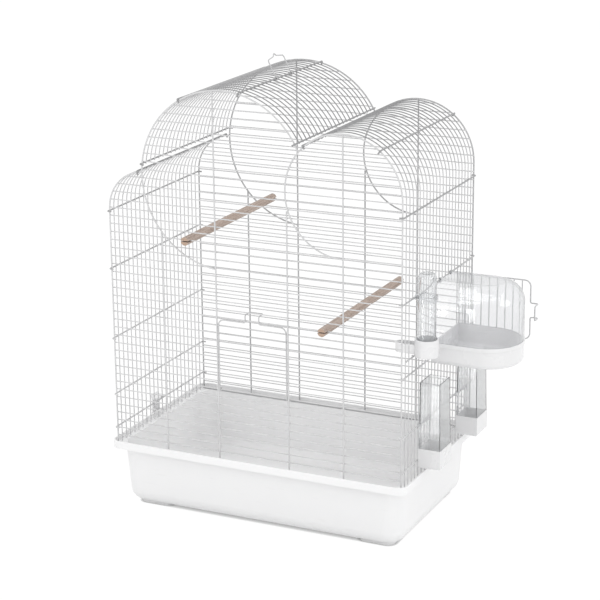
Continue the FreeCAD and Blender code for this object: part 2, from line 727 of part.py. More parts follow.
def latch(side):
    axis = latch_axis(side)
    wire_x = side * (HALF_WIDTH + CROSS_OUT)
    lip_z = LEDGE_Z + LATCH_WIRE_H + CROSS_D / 2 + RUNNING_GAP
    lip_x = side * (HALF_WIDTH + BAR_OUT + BAR_D / 2 + RUNNING_GAP)
    half = LATCH_PLATE / 2
    outline = [
        V(axis.x - side * half, 0, axis.z),
        V(axis.x + side * half, 0, axis.z),
        V(axis.x + side * half, 0, lip_z),
        V(axis.x + side * (half + LATCH_TAB_LEAN), 0, lip_z + LATCH_PLATE + LATCH_TAB),
        V(axis.x - side * (half - LATCH_TAB_LEAN), 0, lip_z + LATCH_PLATE + LATCH_TAB),
        V(axis.x - side * half, 0, lip_z + LATCH_PLATE),
        V(lip_x, 0, lip_z + LATCH_PLATE),
        V(lip_x, 0, lip_z),
        V(wire_x + side * (CROSS_D / 2 + RUNNING_GAP), 0, lip_z),
        V(axis.x - side * half, 0, lip_z - LATCH_PLATE),
    ]
    face = Part.Face(Part.makePolygon([*outline, outline[0]]))
    plate = face.extrude(BACK * LATCH_WIDTH)
    barrel = Part.makeCylinder(LATCH_BARREL_R, LATCH_WIDTH, V(axis.x, 0, axis.z), BACK)
    reach = LATCH_WIDTH + 2 * OVERRUN
    hole = Part.makeCylinder(LATCH_PIN_R + PIN_GAP, reach, V(axis.x, -OVERRUN, axis.z), BACK)
    lever = fused([plate, barrel]).cut(hole).Solids[0]
    return [lever.translated(BACK * (-LATCH_WIDTH / 2))]


# Perches: wooden dowels, slotted at both ends so that each end pushes over a level bar


def perch(x, h):
    level = bar_height(round((h - FRAME_D / 2) / BAR_PITCH))
    length = CAGE_DEPTH + 2 * PERCH_OVERHANG
    dowel = Part.makeCylinder(PERCH_D / 2, length, place(x, -PERCH_OVERHANG, level), BACK)
    dowel = dowel.makeChamfer(PERCH_EDGE, [edge for edge in dowel.Edges if edge.Closed])
    half = BAR_D / 2 + PERCH_SLOT_GAP
    depth = PERCH_OVERHANG + BAR_IN + half
    for end in (-PERCH_OVERHANG - OVERRUN, CAGE_DEPTH + PERCH_OVERHANG - depth):
        low = place(x - PERCH_D, end, level - half)
        high = place(x + PERCH_D, end + depth + OVERRUN, level + half)
        dowel = dowel.cut(box(low, high))
    return dowel.Solids


# Outside fittings: each has clips, open towards the cage, that push on to a cross wire


def clip(y, h, root):
    """A two-jawed clip on the cross wire at height h, reaching out to x = root."""
    jaw = CROSS_D / 2 + CLIP_SLOT_GAP
    inner = OUTSIDE_X - CLIP_REACH
    low = place(inner, y - CLIP_WIDTH / 2, h - jaw - CLIP_JAW)
    high = place(root, y + CLIP_WIDTH / 2, h + jaw + CLIP_JAW)
    slot_low = place(inner - OVERRUN, y - CLIP_WIDTH, h - jaw)
    slot_high = place(OUTSIDE_X - OUTSIDE_GAP + CLIP_SLOT_GAP, y + CLIP_WIDTH, h + jaw)
    return box(low, high).cut(box(slot_low, slot_high))


# Bath: a white half-round dish under a clear dome, open towards the side doorway


BATH_HALF = (HINGE_BAR - STOP_BAR) * END_PITCH / 2 - BATH_SIDE_GAP
BATH_Y = (end_bar_y(HINGE_BAR) + end_bar_y(STOP_BAR)) / 2
BATH_RIM_H = SIDE_SILL_H + BATH_SILL_RISE
HOOD_TOP_H = SIDE_HEAD_H + CROSS_D / 2


def bath_prism(inset, low, high, mouth):
    """The bath's half-round plan, shrunk by the inset, between two heights."""
    half = BATH_HALF - inset
    centre_x = OUTSIDE_X + BATH_REACH - BATH_HALF
    edges = [
        line(place(mouth, BATH_Y - half, low), place(centre_x, BATH_Y - half, low)),
        Part.Arc(
            place(centre_x, BATH_Y - half, low),
            place(centre_x + half, BATH_Y, low),
            place(centre_x, BATH_Y + half, low),
        ).toShape(),
        line(place(centre_x, BATH_Y + half, low), place(mouth, BATH_Y + half, low)),
        line(place(mouth, BATH_Y + half, low), place(mouth, BATH_Y - half, low)),
    ]
    return Part.Face(Part.Wire(edges)).extrude(UP * (high - low))


def edges_at(shape, z, mouth_x):
    """The level edges at height z, apart from the straight one along the mouth."""
    found = []
    for edge in shape.Edges:
        level = abs(edge.BoundBox.ZMax - z) + abs(edge.BoundBox.ZMin - z) < WELD_SET
        if level and edge.BoundBox.XMax > mouth_x + OVERRUN:
            found.append(edge)
    return found


def bath_tray():
    low = BATH_RIM_H - BATH_DEPTH
    dish = bath_prism(0, low, BATH_RIM_H, OUTSIDE_X)
    bottom = edges_at(dish, LEDGE_Z + low, OUTSIDE_X - HALF_WIDTH)
    dish = dish.makeFillet(BATH_EDGE_R, bottom)
    inner_mouth = OUTSIDE_X + BATH_WALL
    hollow = bath_prism(BATH_WALL, low + BATH_WALL, BATH_RIM_H + OVERRUN, inner_mouth)
    floor = edges_at(hollow, LEDGE_Z + low + BATH_WALL, inner_mouth - HALF_WIDTH)
    hollow = hollow.makeFillet(BATH_EDGE_R - BATH_WALL, floor)
    spread = TRAY_CLIP_share * BATH_HALF
    clips = [clip(BATH_Y + side * spread, SIDE_SILL_H, OUTSIDE_X + CLIP_HOLD) for side in (-1, 1)]
    return [fused([dish.cut(hollow), *clips])]


def bath_hood():
    dome = bath_prism(0, BATH_RIM_H, HOOD_TOP_H, OUTSIDE_X)
    dome = dome.makeFillet(HOOD_DOME_R, edges_at(dome, LEDGE_Z + HOOD_TOP_H, OUTSIDE_X - HALF_WIDTH))
    hollow = bath_prism(HOOD_WALL, BATH_RIM_H - OVERRUN, HOOD_TOP_H - HOOD_WALL, OUTSIDE_X - OVERRUN)
    top = edges_at(hollow, LEDGE_Z + HOOD_TOP_H - HOOD_WALL, OUTSIDE_X - OVERRUN - HALF_WIDTH)
    hollow = hollow.makeFillet(HOOD_DOME_R - HOOD_WALL, top)
    spread = (BATH_HALF - HOOD_DOME_R) * HOOD_CLIP_share
    clips = [clip(BATH_Y + side * spread, SIDE_HEAD_H, OUTSIDE_X + CLIP_HOLD) for side in (-1, 1)]
    return [fused([dome.cut(hollow), *clips])]


# Drinker: a clear tube standing in a white cup, with a spout through the bars and a clip for the tube


DRINKER_Y = end_bar_y(DRINKER_BAR) + DRINKER_BAYS * END_PITCH / 2
DRINKER_X = OUTSIDE_X + CLIP_RING_WALL + CLIP_SLOT_GAP + TUBE_R
CUP_BOTTOM_H = DRINKER_SILL_H + CROSS_D / 2 + RUNNING_GAP
STAND_TOP_H = CUP_BOTTOM_H + CUP_HEIGHT - TUBE_DIP


def round_post(radius, low, high):
    return Part.makeCylinder(radius, high - low, place(DRINKER_X, DRINKER_Y, low), UP)


def spout_form(inset, low, high):
    """The spout's plan, shrunk by the inset: a bar with a rounded inner end, reaching into the cup."""
    half = SPOUT_WIDTH / 2 - inset
    tip_x = CAGE_WIDTH - SPOUT_LENGTH + inset + half
    bar = box(place(tip_x, DRINKER_Y - half, low), place(DRINKER_X, DRINKER_Y + half, high))
    tip = Part.makeCylinder(half, high - low, place(tip_x, DRINKER_Y, low), UP)
    return bar.fuse(tip)


def drinker_cup():
    rim = CUP_BOTTOM_H + CUP_HEIGHT
    spout_low = CUP_BOTTOM_H + SPOUT_LIFT
    spout_high = spout_low + SPOUT_HEIGHT
    cup = round_post(CUP_R, CUP_BOTTOM_H, rim).fuse(spout_form(0, spout_low, spout_high))
    bowl = round_post(CUP_R - CUP_WALL, CUP_BOTTOM_H + CUP_WALL, rim + OVERRUN)
    channel = spout_form(CUP_WALL, spout_low + CUP_WALL, spout_high + OVERRUN)
    stand = round_post(TUBE_R, CUP_BOTTOM_H + CUP_WALL / 2, STAND_TOP_H)
    stand = stand.cut(round_post(TUBE_R - CUP_WALL, CUP_BOTTOM_H, rim))
    half = SPOUT_WIDTH / 2 - CUP_WALL
    flow = box(
        place(DRINKER_X - CUP_R, DRINKER_Y - half, CUP_BOTTOM_H),
        place(DRINKER_X + CUP_R, DRINKER_Y + half, rim),
    )
    return [fused([cup.cut(bowl).cut(channel), *stand.cut(flow).Solids])]


def drinker_tube():
    foot = STAND_TOP_H + PIN_GAP
    tube = round_post(TUBE_R, foot, TUBE_TOP_H)
    crown = [edge for edge in tube.Edges if edge.BoundBox.ZMin > LEDGE_Z + TUBE_TOP_H - OVERRUN]
    tube = tube.makeFillet(TUBE_DOME_R, crown)
    bore = round_post(TUBE_R - TUBE_WALL, foot - OVERRUN, TUBE_TOP_H - TUBE_WALL)
    inner = [edge for edge in bore.Edges if edge.BoundBox.ZMin > LEDGE_Z + TUBE_TOP_H - TUBE_WALL - OVERRUN]
    return [tube.cut(bore.makeFillet(TUBE_DOME_R - TUBE_WALL, inner))]


def drinker_clip():
    low = SIDE_HEAD_H - CLIP_RING_HEIGHT / 2
    high = SIDE_HEAD_H + CLIP_RING_HEIGHT / 2
    hole_r = TUBE_R + CLIP_SLOT_GAP
    ring = round_post(hole_r + CLIP_RING_WALL, low, high)
    ring = ring.cut(round_post(hole_r, low - OVERRUN, high + OVERRUN))
    grip = clip(DRINKER_Y, SIDE_HEAD_H, OUTSIDE_X + CLIP_HOLD)
    return [fused([ring, grip])]


# Seed feeders: a clear hopper with a window towards the cage, standing on the rim of a white trough


def feeder_box(y, inset, low, high, taper):
    """A box outside the cage between two heights, drawn in by the taper at its top."""
    wires = []
    for h, draw in ((low, 0), (high, taper)):
        x0 = OUTSIDE_X + inset
        x1 = OUTSIDE_X + TROUGH_WIDTH - inset - draw
        y0 = y - TROUGH_LENGTH / 2 + inset + draw
        y1 = y + TROUGH_LENGTH / 2 - inset - draw
        corners = [place(x0, y0, h), place(x1, y0, h), place(x1, y1, h), place(x0, y1, h)]
        wires.append(Part.makePolygon([*corners, corners[0]]))
    return Part.makeLoft(wires, True, True)


def feeder_trough(k):
    y = end_bar_y(k)
    top = TROUGH_BOTTOM_H + TROUGH_HEIGHT
    trough = feeder_box(y, 0, TROUGH_BOTTOM_H, top, 0)
    bottom = [edge for edge in trough.Edges if edge.BoundBox.ZMax < LEDGE_Z + TROUGH_BOTTOM_H + OVERRUN]
    outer = [edge for edge in bottom if edge.BoundBox.XMax > OUTSIDE_X - HALF_WIDTH + OVERRUN]
    trough = trough.makeFillet(TROUGH_EDGE_R, outer)
    hollow = feeder_box(y, TROUGH_WALL, TROUGH_BOTTOM_H + TROUGH_WALL, top + OVERRUN, 0)
    spread = HOPPER_CLIP_share * TROUGH_LENGTH / 2
    clips = [clip(y + side * spread, LATCH_WIRE_H, OUTSIDE_X + CLIP_HOLD) for side in (-1, 1)]
    return [fused([trough.cut(hollow), *clips])]


def feeder_hopper(k):
    y = end_bar_y(k)
    low = TROUGH_BOTTOM_H + TROUGH_HEIGHT
    high = low + HOPPER_HEIGHT
    shell = feeder_box(y, HOPPER_INSET, low, high, HOPPER_TAPER)
    hollow = feeder_box(y, HOPPER_INSET + HOPPER_WALL, low - OVERRUN, high + OVERRUN, HOPPER_TAPER)
    half = HOPPER_WINDOW_share * TROUGH_LENGTH / 2
    window = box(
        place(OUTSIDE_X - OVERRUN, y - half, low - OVERRUN),
        place(OUTSIDE_X + HOPPER_INSET + HOPPER_WALL + OVERRUN, y + half, FEEDER_WIRE_H),
    )
    spread = HOPPER_CLIP_share * TROUGH_LENGTH / 2
    root = OUTSIDE_X + HOPPER_INSET + CLIP_HOLD
    clips = [clip(y + side * spread, FEEDER_WIRE_H, root) for side in (-1, 1)]
    return [fused([shell.cut(hollow).cut(window), *clips])]


os.makedirs("parts", exist_ok=True)

export("base_tub", base_tub())

for panel, panel_y, inward in (("front", 0, 1), ("back", CAGE_DEPTH, -1)):
    rail = bottom_rail(panel_y, inward)
    export(panel + "_frame", [*outline_wires(panel_y), *uprights(panel_y), rail])
    export(panel + "_bars", level_bars(panel_y, inward, panel == "front"))

for panel, (bars, crosses) in (("left_end", left_end()), ("roof", roof()), ("right_end", right_end())):
    export(panel + "_bars", bars)
    export(panel + "_cross_wires", crosses)

for door, groups in (("front_door", front_door()), ("side_door", side_door())):
    for piece, solids in zip(("frame", "bars"), groups):
        export(door + "_" + piece, solids)

export("carry_handle", carry_handle())

for name, side in (("left", -1), ("right", 1)):
    export(name + "_latch", latch(side))
    export(name + "_latch_pin", latch_pin(side))

export("left_perch", perch(LEFT_PERCH_IN, LEFT_PERCH_H))
export("right_perch", perch(CAGE_WIDTH - RIGHT_PERCH_IN, RIGHT_PERCH_H))
export("bath_tray", bath_tray())
export("bath_hood", bath_hood())
export("drinker_cup", drinker_cup())
export("drinker_tube", drinker_tube())
export("drinker_clip", drinker_clip())

for name, bar in zip(("front", "rear"), FEEDER_BARS):
    export(name + "_feeder_trough", feeder_trough(bar))
    export(name + "_feeder_hopper", feeder_hopper(bar))
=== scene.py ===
import math

import bmesh
import bpy
from mathutils import Matrix, Vector
from mathutils.bvhtree import BVHTree
from mathutils.geometry import intersect_ray_tri


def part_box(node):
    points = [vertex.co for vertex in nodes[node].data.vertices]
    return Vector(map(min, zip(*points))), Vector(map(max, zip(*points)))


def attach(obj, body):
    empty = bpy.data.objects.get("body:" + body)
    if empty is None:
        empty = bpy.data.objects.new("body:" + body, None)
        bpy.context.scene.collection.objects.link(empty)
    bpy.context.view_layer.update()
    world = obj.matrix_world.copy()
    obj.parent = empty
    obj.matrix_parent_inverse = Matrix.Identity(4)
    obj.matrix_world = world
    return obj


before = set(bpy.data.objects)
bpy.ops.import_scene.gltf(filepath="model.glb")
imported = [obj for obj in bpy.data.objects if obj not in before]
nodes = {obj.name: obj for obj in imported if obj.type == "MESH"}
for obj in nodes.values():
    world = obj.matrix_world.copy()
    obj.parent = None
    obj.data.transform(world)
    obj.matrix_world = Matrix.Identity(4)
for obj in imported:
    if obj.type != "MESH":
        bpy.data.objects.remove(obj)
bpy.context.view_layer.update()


# Base tub. One deep tub, injection moulded in white polypropylene with a fine spark-eroded skin.
# The wire cage stands on the ledge inside its rim, and feet at the corners keep it off the table.
TUB_WHITE = (0.86, 0.86, 0.862, 1)
TUB_SHADE = (0.835, 0.835, 0.84, 1)
TUB_SKIN = {"Grains": 1400.0, "Clouds": 9.0, "Marks": 0.14}
TUB_ROUGH = (0.34, 0.46)
TUB_BUMP = {"Strength": 0.35, "Distance": 0.00006}
PLASTIC_SCUFF = (0.70, 0.69, 0.68, 1)
PLASTIC_IOR = 1.49
GRAIN_NOISE = {"Detail": 3.0, "Roughness": 0.6}
CLOUD_NOISE = {"Detail": 4.0, "Roughness": 0.55}
CLOUD_LOW = 0.3
CLOUD_HIGH = 0.7
MARK_STRETCH = {"Rotation": (0.4, 0.2, 0.5), "Scale": (14.0, 160.0, 90.0)}
MARK_NOISE = {"Detail": 2.0, "Roughness": 0.5}
MARK_SCALE = 2.0
MARK_FROM = 0.66
MARK_FULL = 0.76


def shader_group(name, inputs, outputs):
    """An empty node group with named number sockets, its input node and its output node."""
    group = bpy.data.node_groups.new(name, "ShaderNodeTree")
    for socket, value in inputs.items():
        made = group.interface.new_socket(socket, in_out="INPUT", socket_type="NodeSocketFloat")
        made.default_value = value
    for socket in outputs:
        group.interface.new_socket(socket, in_out="OUTPUT", socket_type="NodeSocketFloat")
    return group, group.nodes.new("NodeGroupInput"), group.nodes.new("NodeGroupOutput")


def add(tree, kind, inputs, **settings):
    """A shader node with its settings, fed with plain values or with other nodes' sockets."""
    made = tree.nodes.new("ShaderNode" + kind)
    for name, value in settings.items():
        setattr(made, name, value)
    for socket, value in inputs.items():
        if isinstance(value, bpy.types.NodeSocket):
            tree.links.new(value, made.inputs[socket])
        else:
            made.inputs[socket].default_value = value
    return made


def add_group(tree, group, inputs):
    """A shared node group placed in a material with its own values."""
    made = tree.nodes.new("ShaderNodeGroup")
    made.node_tree = group
    for socket, value in inputs.items():
        made.inputs[socket].default_value = value
    return made


def blank_material(name):
    """A new material with only a Principled shader, and that shader."""
    made = bpy.data.materials.new(name)
    made.use_nodes = True
    return made, made.node_tree, made.node_tree.nodes["Principled BSDF"]


def mixed(tree, share, low, high):
    """A colour between two others by a share that changes over the surface."""
    made = add(tree, "Mix", {}, data_type="RGBA")
    tree.links.new(share, made.inputs["Factor"])
    for socket, value in (("A", low), ("B", high)):
        port = next(s for s in made.inputs if s.name == socket and s.type == "RGBA")
        if isinstance(value, bpy.types.NodeSocket):
            tree.links.new(value, port)
        else:
            port.default_value = value
    return next(s for s in made.outputs if s.type == "RGBA")


def ranged(tree, value, low, high, start=0.0, end=1.0):
    """A value moved from the range start to end into the range low to high."""
    return add(
        tree,
        "MapRange",
        {"Value": value, "From Min": start, "From Max": end, "To Min": low, "To Max": high},
    ).outputs["Result"]


def own_place(tree):
    """The place of each point in the piece's own frame."""
    return add(tree, "TexCoord", {}).outputs["Object"]


def noise(tree, place, look, scale=1.0):
    """A noise over the piece, about one half on the whole."""
    return add(tree, "TexNoise", {"Vector": place, "Scale": scale, **look}).outputs["Fac"]


def moulded_skin_group():
    """Skin of a moulded piece: fine spark-eroded grain, slow clouds of tone, and rare handling marks."""
    group, given, out = shader_group("moulded_skin", TUB_SKIN, ["Height", "Cloud", "Mark"])
    place = own_place(group)
    grain = noise(group, place, GRAIN_NOISE, given.outputs["Grains"])
    cloud = noise(group, place, CLOUD_NOISE, given.outputs["Clouds"])
    drawn = add(group, "Mapping", {"Vector": place, **MARK_STRETCH}).outputs["Vector"]
    streak = noise(group, drawn, MARK_NOISE, MARK_SCALE)
    marked = ranged(group, streak, 0.0, given.outputs["Marks"], MARK_FROM, MARK_FULL)
    group.links.new(grain, out.inputs["Height"])
    group.links.new(cloud, out.inputs["Cloud"])
    group.links.new(marked, out.inputs["Mark"])
    return group


moulded_skin = moulded_skin_group()


def moulded_plastic(name, white, shade, skin, rough, bump):
    """Opaque moulded plastic: clouded white, scuffs, and the grain of its mould as a bump."""
    made, tree, shader = blank_material(name)
    worn = add_group(tree, moulded_skin, skin).outputs
    tone = mixed(tree, worn["Cloud"], white, shade)
    tree.links.new(mixed(tree, worn["Mark"], tone, PLASTIC_SCUFF), shader.inputs["Base Color"])
    dulled = ranged(tree, worn["Cloud"], *rough, CLOUD_LOW, CLOUD_HIGH)
    tree.links.new(dulled, shader.inputs["Roughness"])
    raised = add(tree, "Bump", {"Height": worn["Height"], **bump})
    tree.links.new(raised.outputs["Normal"], shader.inputs["Normal"])
    shader.inputs["IOR"].default_value = PLASTIC_IOR
    return made


def dress(names, material):
    """The named CAD pieces shown in a material."""
    for name in names:
        piece = nodes[name]
        piece.data.materials.clear()
        piece.data.materials.append(material)


tub_plastic = moulded_plastic("tub_plastic", TUB_WHITE, TUB_SHADE, TUB_SKIN, TUB_ROUGH, TUB_BUMP)
dress(["base_tub"], tub_plastic)


# Panels, ends and roof. Drawn steel wire, welded where it crosses and then powder coated white.
# The bent outline wires and uprights carry level bars, and cross wires tie the upright bars.
# Painted shade: the back outline, the upper cross wires, the roof toward the right and the top of the
# right end are greyed, standing in for light that comes mostly from the front left.
COAT_WHITE = (0.60, 0.60, 0.605, 1)
COAT_SHADE = (0.53, 0.53, 0.535, 1)
COAT_PAINTED_SHADE = (0.28, 0.28, 0.285, 1)
SHADED_BACK_WHITE = (0.45, 0.45, 0.455, 1)
SHADED_BACK_THIN = (0.40, 0.40, 0.405, 1)
CROSS_PAINTED_SHADE = ("Z", 0.25, 0.58)
ROOF_PAINTED_SHADE = ("X", -0.17, -0.05)
RIGHT_PAINTED_SHADE = ("Z", 0.57, 0.66)
COAT_SKIN = {"Peel": 700.0, "Patches": 26.0}
COAT_ROUGH = (0.30, 0.44)
COAT_BUMP = {"Strength": 0.4, "Distance": 0.00005}
PEEL_NOISE = {"Detail": 1.5, "Roughness": 0.45}
PATCH_NOISE = {"Detail": 5.0, "Roughness": 0.6}
THIN_FROM = 0.35
THIN_FULL = 0.68
WIRE_NODES = ["front_frame", "front_bars", "back_bars", "left_end_bars"]
CROSS_NODES = ["left_end_cross_wires", "right_end_cross_wires", "roof_cross_wires"]


def powder_coat_group():
    """Powder coat: the orange peel of the melted powder and patches where it lies thinner."""
    group, given, out = shader_group("powder_coat", COAT_SKIN, ["Height", "Thin"])
    place = own_place(group)
    peel = noise(group, place, PEEL_NOISE, given.outputs["Peel"])
    patch = noise(group, place, PATCH_NOISE, given.outputs["Patches"])
    group.links.new(peel, out.inputs["Height"])
    group.links.new(ranged(group, patch, 0.0, 1.0, THIN_FROM, THIN_FULL), out.inputs["Thin"])
    return group


powder_coat = powder_coat_group()


def coated_wire(name, white, shade, painted_shade=None):
    """White coated wire: tone and gloss change where the coat is thin, and it may be greyed along one
    axis as painted shade.
    """
    made, tree, shader = blank_material(name)
    coat = add_group(tree, powder_coat, COAT_SKIN).outputs
    tone = mixed(tree, coat["Thin"], white, shade)
    # Painted shade: the wire greys along one axis, standing in for less light there.
    if painted_shade:
        axis, start, end = painted_shade
        along = add(tree, "SeparateXYZ", {"Vector": own_place(tree)}).outputs[axis]
        tone = mixed(tree, ranged(tree, along, 0.0, 1.0, start, end), tone, COAT_PAINTED_SHADE)
    tree.links.new(tone, shader.inputs["Base Color"])
    tree.links.new(ranged(tree, coat["Thin"], *COAT_ROUGH), shader.inputs["Roughness"])
    raised = add(tree, "Bump", {"Height": coat["Height"], **COAT_BUMP})
    tree.links.new(raised.outputs["Normal"], shader.inputs["Normal"])
    return made


cage_wire = coated_wire("cage_wire", COAT_WHITE, COAT_SHADE)
# The cross wires are greyed higher up as painted shade.
cross_wire = coated_wire("cross_wire", COAT_WHITE, COAT_SHADE, CROSS_PAINTED_SHADE)
dress(WIRE_NODES, cage_wire)
dress(CROSS_NODES, cross_wire)
# Painted shade: the back outline gets a greyer coat, as if it were lit less.
dress(["back_frame"], coated_wire("back_wire_shaded", SHADED_BACK_WHITE, SHADED_BACK_THIN))
# Painted shade: the roof greys toward the right, and the right end bars toward the top.
dress(["roof_bars"], coated_wire("roof_wire_shaded", COAT_WHITE, COAT_SHADE, ROOF_PAINTED_SHADE))
dress(["right_end_bars"], coated_wire("right_wire_shaded", COAT_WHITE, COAT_SHADE, RIGHT_PAINTED_SHADE))


# Welds. Each bar is spot welded where it crosses a heavier wire, which leaves a small bead in the corner.
# The beads lie under the same coat as the wires.
WELD_R = 0.0012
WELD_ROUNDINGS = 2
WELD_CELL = 0.005
PANEL_WELDS = [("front_bars", "front_frame"), ("back_bars", "back_frame")]
END_WELDS = [
    ("left_end_bars", "left_end_cross_wires"),
    ("roof_bars", "roof_cross_wires"),
    ("right_end_bars", "right_end_cross_wires"),
]


def triangles(name):
    """The corners of a CAD piece's triangles, and the tree that finds them by place."""
    mesh = nodes[name].data
    mesh.calc_loop_triangles()
    places = [corner.co for corner in mesh.vertices]
    faces = [tuple(face.vertices) for face in mesh.loop_triangles]
    tree = BVHTree.FromPolygons(places, faces, all_triangles=True)
    return [[places[corner] for corner in face] for face in faces], tree


def cut_points(edges_of, face):
    """Points where the edges of one triangle pass through another."""
    for start, end in zip(edges_of, edges_of[1:] + edges_of[:1]):
        hit = intersect_ray_tri(*face, end - start, start, True)
        if hit and (hit - start).length <= (end - start).length:
            yield hit


def weld_places(bars, wires):
    """The middle of each spot where a bar is let into a wire."""
    bar_faces, bar_tree = triangles(bars)
    wire_faces, wire_tree = triangles(wires)
    cells = {}
    for bar, wire in sorted(bar_tree.overlap(wire_tree)):
        pair = bar_faces[bar], wire_faces[wire]
        for hit in (*cut_points(*pair), *cut_points(*reversed(pair))):
            cells.setdefault(tuple(round(value / WELD_CELL) for value in hit), []).append(hit)
    return [sum(hits, Vector()) / len(hits) for hits in cells.values()]


def make_welds(name, pairs, material, body):
    """One piece with a bead at each weld between the bars and the wires of the pairs."""
    bead = bmesh.new()
    bmesh.ops.create_icosphere(bead, subdivisions=WELD_ROUNDINGS, radius=WELD_R)
    bead_places = [corner.co.copy() for corner in bead.verts]
    bead_faces = [[corner.index for corner in face.verts] for face in bead.faces]
    bead.free()
    places = []
    faces = []
    for bars, wires in pairs:
        for spot in weld_places(bars, wires):
            faces += [[len(places) + corner for corner in face] for face in bead_faces]
            places += [spot + place for place in bead_places]
    mesh = bpy.data.meshes.new(name)
    mesh.from_pydata(places, [], faces)
    mesh.shade_smooth()
    mesh.materials.append(material)
    welds = bpy.data.objects.new(name, mesh)
    bpy.context.scene.collection.objects.link(welds)
    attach(welds, body)


make_welds("panel_welds", PANEL_WELDS, cage_wire, "cage")
# The end welds carry the cross wires' painted shade.
make_welds("end_welds", END_WELDS, cross_wire, "cage")


# Doors. Each is one wire bent to a frame and looped round a wire of the cage as its hinge, with bars.
# The wire's hump at the free edge is the sprung catch. The coat is a little greyer than the panels'.
DOOR_NODES = ["front_door_frame", "front_door_bars", "side_door_frame", "side_door_bars"]
DOOR_WHITE = (0.54, 0.54, 0.545, 1)
DOOR_SHADE = (0.47, 0.47, 0.475, 1)
door_wire = coated_wire("door_wire", DOOR_WHITE, DOOR_SHADE)
dress(DOOR_NODES, door_wire)
for door in ("front_door", "side_door"):
    make_welds(door + "_welds", [(door + "_bars", door + "_frame")], door_wire, door)


# Carry handle. A bail bent from one wire, coated like the doors, with a small peak to hang it by.
# Its two ends are looped round a cross wire of the roof, so that it can lie over either way.
dress(["carry_handle"], door_wire)


# Latches. Small levers of white moulded plastic that hook over the lowest cross wire at each end.
# Each turns on a plain pin of drawn steel that is held in the tub.
LEVER_WHITE = (0.80, 0.80, 0.81, 1)
LEVER_SHADE = (0.76, 0.76, 0.77, 1)
LEVER_SKIN = {"Grains": 1800.0, "Clouds": 40.0, "Marks": 0.3}
LEVER_ROUGH = (0.30, 0.42)
LEVER_BUMP = {"Strength": 0.25, "Distance": 0.00005}
PIN_STEEL = (0.55, 0.55, 0.56, 1)
PIN_DULL = (0.40, 0.40, 0.41, 1)
PIN_STREAKS = (900.0, 40.0, 900.0)
PIN_NOISE = {"Detail": 3.0}
PIN_ROUGH = (0.22, 0.38)
lever_plastic = moulded_plastic(
    "lever_plastic", LEVER_WHITE, LEVER_SHADE, LEVER_SKIN, LEVER_ROUGH, LEVER_BUMP
)
dress(["left_latch", "right_latch"], lever_plastic)


def drawn_steel():
    """Bright drawn wire with fine streaks along its length."""
    made, tree, shader = blank_material("drawn_steel")
    drawn = add(tree, "Mapping", {"Vector": own_place(tree), "Scale": PIN_STREAKS}).outputs["Vector"]
    streak = noise(tree, drawn, PIN_NOISE)
    tree.links.new(mixed(tree, streak, PIN_DULL, PIN_STEEL), shader.inputs["Base Color"])
    tree.links.new(ranged(tree, streak, *PIN_ROUGH), shader.inputs["Roughness"])
    shader.inputs["Metallic"].default_value = 1.0
    return made


dress(["left_latch_pin", "right_latch_pin"], drawn_steel())


# Perches. Two turned beech dowels, left bare, with a slot sawn in each end for a bar of the panel.
# Beech is pale and pinkish, with short dark flecks along the grain and darker end grain.
BEECH_PALE = (0.50, 0.41, 0.355, 1)
BEECH_PINK = (0.35, 0.27, 0.225, 1)
BEECH_FLECK = (0.22, 0.155, 0.12, 1)
BEECH_END = (0.42, 0.30, 0.225, 1)
BEECH_ROUGH = (0.52, 0.68)
BEECH_ROUGH_BANDS = (0.3, 0.7)
BEECH_BUMP = {"Strength": 0.5, "Distance": 0.00012}
GRAIN_ACROSS = 420.0
GRAIN_ALONG = 11.0
BAND_NOISE = {"Detail": 5.0, "Roughness": 0.6, "Distortion": 0.4}
BAND_FROM = 0.34
BAND_FULL = 0.66
FLECK_ACROSS = 1500.0
FLECK_ALONG = 160.0
FLECK_NOISE = {"Detail": 1.0}
FLECK_FROM = 0.60
FLECK_FULL = 0.70
FLECK_SHARE = 0.75
END_FROM = 0.75
END_FULL = 0.92


def beech_grain(tree, place, across, along):
    """The place stretched so that a noise in it runs along the dowel."""
    return add(tree, "Mapping", {"Vector": place, "Scale": (across, along, across)}).outputs["Vector"]


def beech_dowel():
    """Turned beech: growth bands along the dowel, ray flecks, and dark sawn ends."""
    made, tree, shader = blank_material("beech_dowel")
    coords = add(tree, "TexCoord", {}).outputs
    place = coords["Object"]
    facing = add(tree, "SeparateXYZ", {"Vector": coords["Normal"]}).outputs["Y"]
    end = add(tree, "Math", {0: facing}, operation="ABSOLUTE").outputs["Value"]
    end = ranged(tree, end, 0.0, 1.0, END_FROM, END_FULL)
    band = noise(tree, beech_grain(tree, place, GRAIN_ACROSS, GRAIN_ALONG), BAND_NOISE)
    tone = mixed(tree, ranged(tree, band, 0.0, 1.0, BAND_FROM, BAND_FULL), BEECH_PALE, BEECH_PINK)
    fleck = noise(tree, beech_grain(tree, place, FLECK_ACROSS, FLECK_ALONG), FLECK_NOISE)
    fleck = ranged(tree, fleck, 0.0, FLECK_SHARE, FLECK_FROM, FLECK_FULL)
    tone = mixed(tree, fleck, tone, BEECH_FLECK)
    tree.links.new(mixed(tree, end, tone, BEECH_END), shader.inputs["Base Color"])
    dulled = ranged(tree, band, *BEECH_ROUGH, *BEECH_ROUGH_BANDS)
    tree.links.new(dulled, shader.inputs["Roughness"])
    grooved = add(tree, "Math", {0: band, 1: fleck}, operation="SUBTRACT").outputs["Value"]
    raised = add(tree, "Bump", {"Height": grooved, **BEECH_BUMP})
    tree.links.new(raised.outputs["Normal"], shader.inputs["Normal"])
    return made


dress(["left_perch", "right_perch"], beech_dowel())


